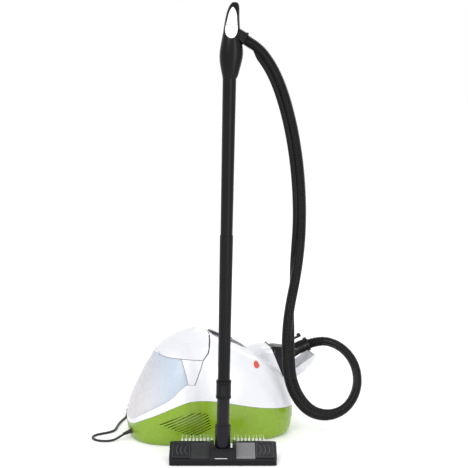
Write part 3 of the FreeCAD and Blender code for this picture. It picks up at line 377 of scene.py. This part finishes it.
LOOKS = {
    "white_casing": lambda n: plastic(n, WHITE, 0.22, coat=0.25, mottle=0.012),
    "green_casing": lambda n: plastic(n, GREEN, 0.27, coat=0.2, mottle=0.05),
    "tank_plastic": tank_look,
    "carry_grip": grip_look,
    "badge_red": lambda n: plastic(n, (0.62, 0.06, 0.03), 0.25, coat=0.4),
    "control_black": lambda n: plastic(n, (0.010, 0.010, 0.011), 0.42, 0.08, **DULL),
    "control_grey": lambda n: plastic(n, (0.30, 0.31, 0.32), 0.4),
    "fork_plastic": lambda n: plastic(n, (0.03, 0.03, 0.032), 0.5, 0.1),
    "wheel_rubber": lambda n: rubber(n, (0.022, 0.022, 0.022)),
    "boiler_steel": lambda n: metal(n, (0.55, 0.55, 0.56), 0.32, (0.05, 1, 1)),
    "element_metal": lambda n: metal(n, (0.22, 0.20, 0.19), 0.5),
    "valve_brass": lambda n: metal(n, (0.62, 0.44, 0.18), 0.3),
    "motor_steel": lambda n: metal(n, (0.42, 0.43, 0.44), 0.38, (1, 1, 0.1)),
    "fan_plastic": lambda n: plastic(n, (0.05, 0.05, 0.055), 0.5, 0.1),
    "rotor_metal": lambda n: metal(n, (0.66, 0.67, 0.68), 0.3),
    "mount_rubber": lambda n: rubber(n, (0.02, 0.02, 0.02)),
    "filter_foam": foam_look,
    "board_green": board_look,
    "float_plastic": lambda n: plastic(n, (0.62, 0.16, 0.03), 0.4),
    "clear_pipe": lambda n: plastic(n, (0.36, 0.46, 0.56), 0.3, mottle=0.04),
    "plug_black": lambda n: plastic(n, (0.003, 0.003, 0.004), 0.16, 0.01, coat=0.15, **DULL),
    "flap_plastic": flap_look,
    "pin_steel": lambda n: metal(n, (0.5, 0.5, 0.51), 0.3),
    "tube_black": lambda n: plastic(n, BLACK, 0.34, 0.03, mottle=0.12, **DULL),
    "collar_black": lambda n: plastic(n, (0.005, 0.005, 0.006), 0.42, 0.06, **DULL),
    "neck_black": lambda n: plastic(n, (0.006, 0.005, 0.009), 0.22, 0.02, coat=0.1, **DULL),
    "handle_black": lambda n: plastic(n, (0.0045, 0.004, 0.0045), 0.30, 0.03, mottle=0.1, **DULL),
    "inlay_white": lambda n: plastic(n, (0.80, 0.80, 0.81), 0.25, coat=0.3, mottle=0.02),
    "head_black": lambda n: plastic(n, (0.0075, 0.0075, 0.010), 0.42, 0.12, 700, **DULL),
    "sole_grey": lambda n: plastic(n, (0.045, 0.045, 0.048), 0.35, 0.1),
    "strip_rubber": lambda n: rubber(n, (0.03, 0.03, 0.03)),
    "tread_rubber": tread_look,
    "bristle_white": lambda n: plastic(n, (0.84, 0.84, 0.81), 0.35, mottle=0.08),
    "hose_black": lambda n: plastic(n, (0.004, 0.004, 0.0042), 0.26, 0.05, mottle=0.2, **DULL),
    "cord_black": lambda n: rubber(n, (0.009, 0.009, 0.009), 0.5),
    "contact_brass": lambda n: metal(n, (0.72, 0.60, 0.32), 0.25, (0.1, 1, 1)),
    "screw_steel": lambda n: metal(n, (0.6, 0.6, 0.61), 0.25),
}
made_looks = {}


def look_for(slot):
    """The one material of a record slot."""
    if slot not in made_looks:
        made_looks[slot] = LOOKS[slot](slot)
    return made_looks[slot]


# ---------------------------------------------------------------- making pieces


def piece(name, mesh, body, slot, replaced=(), smooth=True):
    """A finished mesh as a piece on a body, with the look of one record slot."""
    obj = bpy.data.objects.new(name, mesh)
    bpy.context.scene.collection.objects.link(obj)
    mesh.materials.clear()
    mesh.materials.append(look_for(slot))
    mesh.polygons.foreach_set("use_smooth", [smooth] * len(mesh.polygons))
    if body:
        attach(obj, body)
    if replaced:
        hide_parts(*replaced)
    return obj


# ---------------------------------------------------------------- cords


def spline_of(name, points):
    """A free line as one open NURBS spline with given control points."""
    curve = bpy.data.curves.new(name, "CURVE")
    curve.dimensions = "3D"
    spline = curve.splines.new("NURBS")
    spline.points.add(len(points) - 1)
    for target, point in zip(spline.points, points):
        target.co = (*point, 1)
    spline.order_u = 3
    spline.use_endpoint_u = True
    spline.resolution_u = 12
    return curve


def line_of(curve):
    """The points that a curve with no bevel follows."""
    carrier = bpy.data.objects.new("line_reader", curve)
    mesh = bpy.data.meshes.new_from_object(carrier)
    points = [vertex.co.copy() for vertex in mesh.vertices]
    bpy.data.meshes.remove(mesh)
    bpy.data.objects.remove(carrier)
    return points


def evenly(points, step):
    """The same line with points an even step apart."""
    points = np.array(points)
    along = np.concatenate([[0], np.cumsum(np.linalg.norm(np.diff(points, axis=0), axis=1))])
    count = max(2, round(along[-1] / step) + 1)
    at = np.linspace(0, along[-1], count)
    return np.stack([np.interp(at, along, points[:, k]) for k in range(3)], axis=1), at


def carried_frames(points, first_side):
    """Two cross directions at every point of a line, carried along it without twist."""
    tangents = np.gradient(points, axis=0)
    tangents /= np.linalg.norm(tangents, axis=1)[:, None]
    side = np.array(first_side, float)
    sides, ups = [], []
    for tangent in tangents:
        side = side - tangent * (side @ tangent)
        side /= np.linalg.norm(side)
        sides.append(side.copy())
        ups.append(np.cross(tangent, side))
    return np.array(sides), np.array(ups)


def skin_rings(rings):
    """A closed mesh over rings of points, with one face at each end."""
    count = len(rings[0])
    mesh_points = [tuple(point) for ring in rings for point in ring]
    faces = []
    for row in range(len(rings) - 1):
        for i in range(count):
            a, b = row * count + i, row * count + (i + 1) % count
            faces.append((a, b, b + count, a + count))
    last = (len(rings) - 1) * count
    faces.append(tuple(range(count))[::-1])
    faces.append(tuple(range(last, last + count)))
    mesh = bpy.data.meshes.new("skin")
    mesh.from_pydata(mesh_points, [], faces)
    return mesh


def in_row(*point):
    """A point of the machine frame, in millimetres, as the cord routes give it."""
    return tuple(mm(MACHINE, *point))


# the hose's ends lie inside the cuff, whose Z axis points out of the handle, and inside the plug
CUFF = local(WAND, (17, 2, 1190), 120)
CUFF_MOUTH = 20
PLUG_MOUTH = 116
HOSE_START = tuple(mm(CUFF, 0, 0, CUFF_MOUTH - 13.6))
HOSE_END = tuple(mm(SOCKET, 0, 0, PLUG_MOUTH - 40))
HOSE_ROUTE = [
    HOSE_START,
    tuple(mm(CUFF, 0, 0, CUFF_MOUTH + 16)),
    in_row(77, -333, 1146.5), in_row(120, -336, 1083), in_row(153, -338, 990),
    in_row(178, -334, 880), in_row(194, -322, 762), in_row(200, -306, 645),
    in_row(196, -280, 525), in_row(187, -246, 405), in_row(190, -216, 290),
    in_row(206, -186, 176), in_row(263, -156, 88), in_row(336, -130, 56),
    in_row(407, -104, 72), in_row(450, -75, 127), in_row(448, -46, 196),
    in_row(406, -19, 247), in_row(340, 0, 262.8),
    HOSE_END,
]
RIB_PITCH = 4.4 * MM
RIB_HEIGHT = 1.0 * MM
# along the hose, in metres: where the steam line parts from it, rejoins it and winds round it
PART_FROM, PART_RUN, REJOIN_AT = 0.03, 0.06, 0.05
WIND_FROM, WIND_RUN = 0.55, 0.45


def ease(value):
    """A smooth step from 0 to 1 as the value goes from 0 to 1."""
    value = min(1, max(0, value))
    return value * value * (3 - 2 * value)


def twin_reach(cos, sin, spread, rib):
    """How far a section of two joined rounds, ribbed hose and steam line, reaches one way."""
    main_r, main_off = (14.4 - 0.9 * spread) * MM, -4 * spread * MM
    line_r, line_off = 6 * MM, 14 * spread * MM
    reach = main_off * cos + math.sqrt(main_r ** 2 - (main_off * sin) ** 2) + rib
    inside = line_r ** 2 - (line_off * sin) ** 2
    if inside > 0 and cos > 0:
        reach = max(reach, line_off * cos + math.sqrt(inside))
    return reach


def make_hose():
    """A ribbed suction hose with a smooth steam line that winds half round it low down."""
    line = line_of(spline_of("hose_line", HOSE_ROUTE))
    points, at = evenly(line, RIB_PITCH / 5)
    sides, ups = carried_frames(points, (-0.5, 0, -0.85))
    turns = np.linspace(0, 2 * math.pi, 36, endpoint=False)
    rings = []
    for point, side, up, travelled in zip(points, sides, ups, at):
        rib = RIB_HEIGHT * math.sin(2 * math.pi * travelled / RIB_PITCH)
        parted = ease((travelled - PART_FROM) / PART_RUN)
        spread = parted * ease((at[-1] - REJOIN_AT - travelled) / PART_RUN)
        wind = math.pi * ease((travelled - WIND_FROM) / WIND_RUN)
        ring = []
        for turn in turns:
            reach = twin_reach(math.cos(turn), math.sin(turn), spread, rib)
            ring.append(point + (side * math.cos(turn + wind) + up * math.sin(turn + wind)) * reach)
        rings.append(ring)
    hose = piece("flex_hose", skin_rings(rings), None, "hose_black", ("hose",))
    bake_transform(hose)


def lathe(place, profile, sides=48):
    """A mesh turned about a local Z axis: profile gives radius and height pairs in millimetres."""
    rings = []
    for radius, height in profile:
        rings.append([mm(place, radius * math.cos(turn), radius * math.sin(turn), height)
                      for turn in np.linspace(0, 2 * math.pi, sides, endpoint=False)])
    return skin_rings(rings)


# the lead leaves the casing along the gland's Z axis, and the plug's pins point along its own
GLAND = local(MACHINE, (-230, -38, 27), -110)
GLAND_MOUTH = 20
COIL_X, COIL_Y = -150, 232
PLUG_PLACE = local(MACHINE, (COIL_X + 60, COIL_Y + 45, 17), 90)
LEAD_R = 3.5
# each layer of the coil: how many turns, and the radius of its first and of its last
COIL_LAYERS = [(4, 56, 28), (4.25, 28, 57.75), (4.25, 57.75, 28), (3.75, 28, 54.25)]
TURN_STEPS = 16


def coil_points():
    """Layers of turns, wound in and out between the eye and the rim, clockwise from the -X side."""
    points, turned = [], 0
    for number, (turns, start_r, end_r) in enumerate(COIL_LAYERS):
        count = round(turns * TURN_STEPS)
        for step in range(count):
            share = step / count
            rise = ease(step / TURN_STEPS * 4) if number else 1
            height = LEAD_R + 0.3 + 2 * LEAD_R * (number - 1 + rise)
            radius = start_r + (end_r - start_r) * share
            angle = math.pi - 2 * math.pi * (turned + step / TURN_STEPS)
            x, y = COIL_X + radius * math.cos(angle), COIL_Y + radius * math.sin(angle)
            points.append(in_row(x, y, height))
        turned += turns
    return points


def make_lead():
    """The mains lead from its gland, round the machine's tank end and into the put-away coil."""
    route = [
        tuple(mm(GLAND, 0, 0, GLAND_MOUTH)),
        in_row(-268, -41, 12.2), in_row(-286, -52.5, 5.6), in_row(-304, -58.7, 3.8),
        in_row(-325, -55.7, 3.8), in_row(-341.7, -42.7, 3.8), in_row(-349.7, -23, 3.8),
        in_row(-346.7, -2, 3.8), in_row(-333.7, 14.7, 3.8), in_row(-314, 22.7, 3.8),
        in_row(-291, 31, 3.8), in_row(-274, 48, 3.8), in_row(-265, 72, 3.8), in_row(-257, 99, 3.8),
        in_row(-246, 129, 3.8), in_row(-231, 160, 3.8), in_row(-215, 191, 3.8),
    ]
    tail = [in_row(COIL_X + 22, COIL_Y + 53.5, 25), in_row(COIL_X + 42, COIL_Y + 49, 21.5),
            in_row(COIL_X + 62, COIL_Y + 45, 17.5)]
    curve = spline_of("mains_cord", route + coil_points() + tail)
    curve.bevel_depth = LEAD_R * MM
    curve.bevel_resolution = 4
    curve.splines[0].resolution_u = 4
    curve.use_fill_caps = True
    cord = bpy.data.objects.new("mains_cord", curve)
    bpy.context.scene.collection.objects.link(cord)
    curve.materials.append(look_for("cord_black"))
    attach(cord, "machine")
    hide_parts("mains_lead", "mains_coil")
    make_strain_relief()
    plug = make_mains_plug()


def make_strain_relief():
    """A flange on the casing and a sleeve of shrinking rings round the lead."""
    profile = [(0.5, -12), (5.4, -12), (5.4, 1.6), (8.4, 1.8), (9, 2.6), (9, 5.2), (8.2, 6.2),
               (7, 6.6)]
    for number in range(6):
        low, radius = 8 + 4.2 * number, 6.8 - 0.42 * number
        profile += [(radius, low), (radius, low + 2.2)]
        profile += [(radius - 0.9, low + 2.6), (radius - 1, low + 3.8)]
    profile += [(4.4, 34), (0.5, 34.2)]
    piece("strain_relief", lathe(GLAND, profile), "machine", "cord_black", ("cord_gland",))


def make_mains_plug():
    """A round plug with grip rings and a rim at the pins' end."""
    profile = [(0.5, -0.5), (5, -0.4), (6.2, 1), (7, 4), (12, 9), (14.8, 12), (15.4, 14)]
    for number in range(4):
        low = 15 + 4 * number
        profile += [(15.4, low), (16.8, low + 0.8), (16.8, low + 2.2), (15.4, low + 3)]
    profile += [(16.6, 31.5), (17, 32.5), (17, 35), (16.2, 36), (0.5, 36)]
    return piece("mains_plug_grip", lathe(PLUG_PLACE, profile), "machine", "cord_black",
                 ("mains_plug",))


# ---------------------------------------------------------------- fine detail on the CAD model


def tree_of(*names):
    """A search tree over some CAD nodes, for finding their surfaces."""
    together = bmesh.new()
    for name in names:
        together.from_mesh(nodes[name].data)
    tree = BVHTree.FromBMesh(together)
    together.free()
    return tree


# a machine Y well outside the casing, in millimetres
OUTSIDE = 320


def near_skin(tree, x, z, side=-1):
    """The point and outward direction of the machine's near or far skin at a machine X and Z."""
    start = mm(MACHINE, x, side * OUTSIDE, z)
    hit, normal, _, _ = tree.ray_cast(start, Vector((0, -side, 0)))
    return (hit, normal) if hit else None


def flowing(points, per_span=8):
    """A smooth line through given points."""
    points = [Vector(point) for point in points]
    ends = [2 * points[0] - points[1]] + points + [2 * points[-1] - points[-2]]
    line = []
    for a, b, c, d in zip(ends, ends[1:], ends[2:], ends[3:]):
        for step in range(per_span):
            t = step / per_span
            line.append(0.5 * (2 * b + (c - a) * t + (2 * a - 5 * b + 4 * c - d) * t * t
                               + (3 * b - a - 3 * c + d) * t * t * t))
    return line + [points[-1]]


def bead(points, radius, sides=10, taper=True, flat=1.0):
    """A round bead along a line, with thinner ends if taper is on, squeezed by flat."""
    points = np.array([tuple(point) for point in points])
    across, ups = carried_frames(points, (0.31, 0.2, 0.93))
    turns = np.linspace(0, 2 * math.pi, sides, endpoint=False)
    rings = []
    for number, (point, side, up) in enumerate(zip(points, across, ups)):
        end = min(number, len(points) - 1 - number)
        here = radius * (0.35 if taper and end == 0 else 1)
        rings.append([point + (side * math.cos(turn) * flat + up * math.sin(turn)) * here
                      for turn in turns])
    return skin_rings(rings)


def joined(meshes):
    """Several meshes as one."""
    together = bmesh.new()
    for mesh in meshes:
        together.from_mesh(mesh)
    result = bpy.data.meshes.new("joined")
    together.to_mesh(result)
    together.free()
    return result


def skin_line(tree, points, lift, side=-1):
    """A line over the machine's skin through machine X and Z points, lifted off it."""
    line = []
    for x, _, z in flowing([(x, 0, z) for x, z in points]):
        found = near_skin(tree, x, z, side)
        if found:
            line.append(found[0] + found[1] * lift * MM)
    return line


def make_gap_shade_bead():
    """A dark bead in the gap between the lid and the white casing, down both sides: painted shade
    of the gap.
    """
    tree = tree_of("tank_lid")
    edge = [(-41, 247.5), (-34, 254), (-23.5, 265.5), (-17.5, 278), (-12.5, 289), (-8.5, 297),
            (-7, 304)]
    strips = []
    for side in (-1, 1):
        # painted shade: the dark beads, thicker up top, stand for the shadow in the gap
        line = [point + Vector((2.6, 0, -0.6)) * MM for point in skin_line(tree, edge, -0.9, side)]
        strips.append(bead(line, 1.5 * MM))
        strips.append(bead(line[len(line) // 2:], 2.6 * MM, flat=0.6))
    piece("lid_gap_shade", joined(strips), "machine", "mount_rubber")


def make_casing_lines():
    """Raised lines moulded into the lid and round the vent's leaf outline."""
    lid = tree_of("tank_lid")
    line = [(-128, 262), (-110, 274), (-86, 284), (-60, 289), (-36, 287), (-24, 281)]
    beads = [bead(skin_line(lid, line, 0, side), 1.0 * MM) for side in (-1, 1)]
    piece("lid_line", joined(beads), "lid", "white_casing")
    base = tree_of("base_shell")
    leaf = [(-176, 64), (-150, 77), (-120, 90), (-92, 99), (-68, 104), (-40, 103), (-26, 92),
            (-24, 74), (-31, 50), (-42, 34), (-62, 29), (-90, 32), (-120, 42), (-150, 54),
            (-173, 62)]
    piece("vent_rim", bead(skin_line(base, leaf, -0.2), 1.1 * MM), "machine", "green_casing")


BADGE = (124, 222.5)
BADGE_R = 8.9 * MM


def make_badge_ring():
    """A raised ring round the plain badge."""
    tree = tree_of("badge", "top_shell")
    hit, normal = near_skin(tree, *BADGE)
    across = normal.cross(Vector((0, 0, 1))).normalized()
    over = across.cross(normal)
    ring = [hit + (across * math.cos(turn) + over * math.sin(turn)) * BADGE_R + normal * 0.2 * MM
            for turn in np.linspace(0, 2 * math.pi, 40)]
    piece("badge_ring", bead(ring, 0.9 * MM, taper=False), "machine", "badge_red")


TUFT_Y = 52
TUFT_HAIRS = 30
LONG_HAIRS = 2


def hair_ring(x, y, z, radius):
    """Five points round a hair, in the head frame."""
    return [mm(HEAD, x + radius * math.cos(turn), y + radius * math.sin(turn), z)
            for turn in np.linspace(0, 2 * math.pi, 5, endpoint=False)]


def make_tufts():
    """The rows of bristles behind the floor head: tufts of thin tapered hairs, a few longer."""
    hairs = []
    for place in [side * (32 + 10.5 * number) for side in (-1, 1) for number in range(9)]:
        tall = 52 - 0.02 * abs(place)
        for number in range(TUFT_HAIRS):
            x, y = place + rng.uniform(-1.9, 1.9), TUFT_Y + rng.uniform(-2.6, 2.6)
            tip_x = x + (x - place) * 0.5 + rng.uniform(-0.6, 0.6)
            tip_y = y + rng.uniform(-1.5, 2)
            is_long = number >= TUFT_HAIRS - LONG_HAIRS
            tip_z = tall + (rng.uniform(8, 12) if is_long else rng.uniform(-3, 1))
            root, tip = hair_ring(x, y, 35, 0.5), hair_ring(tip_x, tip_y, tip_z, 0.22)
            hairs.append(skin_rings([root, tip]))
        holder = [(0.3, 0), (2.9, 0), (3.1, 1.5), (2.9, 3.5), (0.3, 4)]
        hairs.append(lathe(local(HEAD, (place, TUFT_Y, 34)), holder, 14))
    piece("bristles", joined(hairs), "floor_head", "bristle_white", ("brush_tufts",))


def deck(y):
    """Height in millimetres of the floor head's sloping top."""
    return 15 + (y + 48) * 28 / 93


def on_deck(x, y, lift):
    """A point over the floor head's sloping top."""
    return mm(HEAD, x, y, deck(y) + lift)


def make_clip_ribs():
    """Three arcs and a rim moulded on each of the floor head's two clips, in a grey lighter than
    the head's black that stands for their glossy highlights: painted highlight.
    """
    outline = [(94, -35), (141, -35), (141, 34), (94, 34), (94, -35)]
    arc = np.linspace(-1.3, 1.3, 26)
    for side, name in ((-1, "left"), (1, "right")):
        ribs = []
        for middle in (96, 108, 120):
            line = [on_deck(side * (middle + 11 * math.cos(turn)), 24 * math.sin(turn), 2.7)
                    for turn in arc]
            ribs.append(bead(line, 1.1 * MM))
        ribs.append(bead([on_deck(side * x, y, 2.6) for x, y in outline], 0.8 * MM, taper=False))
        # painted highlight: the ribs take the lighter grey of the sole so that they show as the
        # gloss on their crests would
        piece(f"clip_ribs_{name}", joined(ribs), f"clip_slider_{name}", "sole_grey")


def make_head_details():
    """Treads on the floor head's pads, lines along its edges and the light strip on its nose."""
    treads = []
    for side in (-1, 1):
        for number in range(17):
            x = side * (40 + 3 * number)
            treads.append(bead([on_deck(x, y, 1.4) for y in np.linspace(-36, 35, 6)], 0.75 * MM, 6))
    piece("tread_ribs", joined(treads), "floor_head", "tread_rubber")
    lines = [bead([mm(HEAD, x, -50.1, height) for x in np.linspace(-141, 141, 12)], radius * MM)
             for height, radius in ((4.5, 1.1), (10, 0.8))]
    for side in (-1, 1):
        end = [on_deck(side * 149.8, y, -4) for y in np.linspace(-42, 40, 8)]
        rear = [mm(HEAD, side * x, 46, deck(45) + 0.2) for x in np.linspace(40, 146, 8)]
        lines += [bead(end, 0.9 * MM), bead(rear, 1.0 * MM)]
    piece("head_rims", joined(lines), "floor_head", "head_black")
    strip = bead([mm(HEAD, x, -45.6, 20.4) for x in np.linspace(-24, 13, 10)], 1.3 * MM, flat=0.7)
    piece("nose_strip", strip, "floor_head", "inlay_white")


def end_caps(joint, profile, sides):
    """Two lathed caps that look out of both ends of a joint's axle, which lies along Y."""
    spot = Matrix.Translation(centre(joint))
    caps = [lathe(spot @ Matrix.Rotation(face * math.pi / 2, 4, "X"), profile, sides)
            for face in (-1, 1)]
    return joined(caps)


def make_hubs():
    """Dished hub caps with a raised boss on both faces of every wheel."""
    profile = [(0.4, 7.4), (4, 7.4), (4.6, 8.2), (6, 8.4), (7, 7.7), (11, 7.6), (12.5, 8.3),
               (14, 8.2), (14.6, 7.3), (14, 6.6), (0.4, 6.6)]
    for end in ("tank", "hose"):
        for side in ("near", "far"):
            caps = end_caps(f"roll_{end}_{side}", profile, 28)
            piece(f"hubs_{end}_{side}", caps, f"roller_{end}_{side}", "fork_plastic")


def make_tank_shade():
    """The tinted part inside the tank, a band from side to side close behind the tank's wall."""
    tree = tree_of("tank")
    low = [(-186, 128), (-160, 142), (-140, 154), (-122, 168), (-106, 181)]
    high = [(-100, 192), (-103, 209), (-118, 206), (-142, 186), (-168, 163), (-184, 145)]
    line, reach = [], []
    for point in flowing([(x, 0, z) for x, z in low + high + low[:1]], 5)[:-1]:
        found = near_skin(tree, point.x, point.z)
        if found:
            line.append(point)
            reach.append((MACHINE.inverted() @ found[0]).y / MM)
    middle = Vector((-143, 0, 172))
    rings = []
    for depth, squeeze in ((6, 0.3), (5.5, 0.06), (7, 0), (40, 0)):
        ring = []
        for point, y in zip(line, reach):
            drawn_in = point.lerp(middle, squeeze)
            ring.append(mm(MACHINE, drawn_in.x, y + depth, drawn_in.z))
        rings.append(ring)
    far = [[Vector((point.x, 2 * MACHINE.translation.y - point.y, point.z)) for point in ring]
           for ring in rings[::-1]]
    piece("tank_shade", skin_rings(rings + far), "tank_unit", "clear_pipe")


def make_flap_ribs():
    """Ribs along and across the inside of the socket's flap."""
    place = Matrix.Translation(centre("flap_fold"))
    curve = flowing([(5, 0, -0.4), (31, 0, 3.1), (65, 0, 25.3), (88, 0, 59)], 6)
    ribs = []
    for y in (-27, -13.5, 0, 13.5, 27):
        ribs.append(bead([mm(place, point.x, y, point.z) for point in curve], 1.0 * MM, 8))
    for point in curve[3::3]:
        across = [mm(place, point.x, y, point.z) for y in np.linspace(-34, 34, 8)]
        ribs.append(bead(across, 0.9 * MM, 8))
    piece("flap_ribs", joined(ribs), "flap", "flap_plastic")


def ring_round(place, height, inner_r, radius, proud, tall):
    """A ring with bevelled edges round a local Z axis, in millimetres."""
    return lathe(place, [(inner_r, height), (radius, height), (radius + proud, height + proud),
                         (radius + proud, height + tall - proud), (radius, height + tall),
                         (inner_r, height + tall)])


def make_plug_details():
    """Raised rings on the hose plug's sleeve and end collar, and grip lines on the latch knob."""
    rings = [ring_round(SOCKET, height, 17, 19.4, 0.8, 2.5) for height in (82, 87, 92, 97)]
    rings += [ring_round(SOCKET, height, 19, 21.6, 0.6, 2) for height in (106.4, 110.6, 114)]
    piece("plug_rings", joined(rings), "machine", "plug_black")
    grips = [bead([mm(SOCKET, -41.2, y, height) for y in np.linspace(-5, 5, 6)], 0.7 * MM, 8)
             for height in (95.5, 97.5, 99.5, 101.5)]
    piece("latch_grip", joined(grips), "latch", "control_black")


HANDLE_X = 4


def make_handle_lines(node, body, heights, half):
    """Raised lines across a node on the handle's front."""
    tree = tree_of(node)
    lines = []
    for height in heights:
        line = []
        for x in np.linspace(HANDLE_X - half, HANDLE_X + half, 9):
            hit, _, _, _ = tree.ray_cast(mm(WAND, x, -90, height), wand_y)
            if hit:
                line.append(hit)
        lines.append(bead(line, 0.7 * MM, 8))
    piece(f"{node}_ribs", joined(lines), body, "control_grey")


def make_wand_details():
    """Fine rings on the wand's collar and tube joint, and lines across its thumb pad and panel."""
    rings = [ring_round(WAND, height, 18, 20.6, 0.5, 1.4) for height in (182.2, 189, 224, 231)]
    rings.append(lathe(WAND, [(17, 637.5), (18, 637.5), (18.5, 638.2), (18.5, 640), (18, 640.8),
                              (17, 640.8)]))
    piece("wand_rings", joined(rings), "wand", "collar_black")
    make_handle_lines("steam_pad", "thumb_pad", (1192, 1198, 1204, 1210), 7)
    make_handle_lines("handle_inlay", "wand", (1222, 1228, 1234, 1240), 6)


def make_tank_hinge_caps():
    """Small domed caps on the ends of the lid's hinge."""
    profile = [(0.3, 27.6), (3.2, 27.8), (3.1, 28.8), (2, 29.5), (0.3, 29.8)]
    piece("hinge_caps", end_caps("lid_hinge", profile, 20), "tank_unit", "tank_plastic")


make_camera()
make_studio()
make_hose()
make_lead()
make_gap_shade_bead()
make_casing_lines()
make_badge_ring()
make_tufts()
make_clip_ribs()
make_head_details()
make_hubs()
make_tank_shade()
make_flap_ribs()
make_plug_details()
make_wand_details()
make_tank_hinge_caps()

# a CAD node's own material is named after its record slot
for node in nodes.values():
    node.data.materials[0] = look_for(node.data.materials[0].name.split(".")[0])
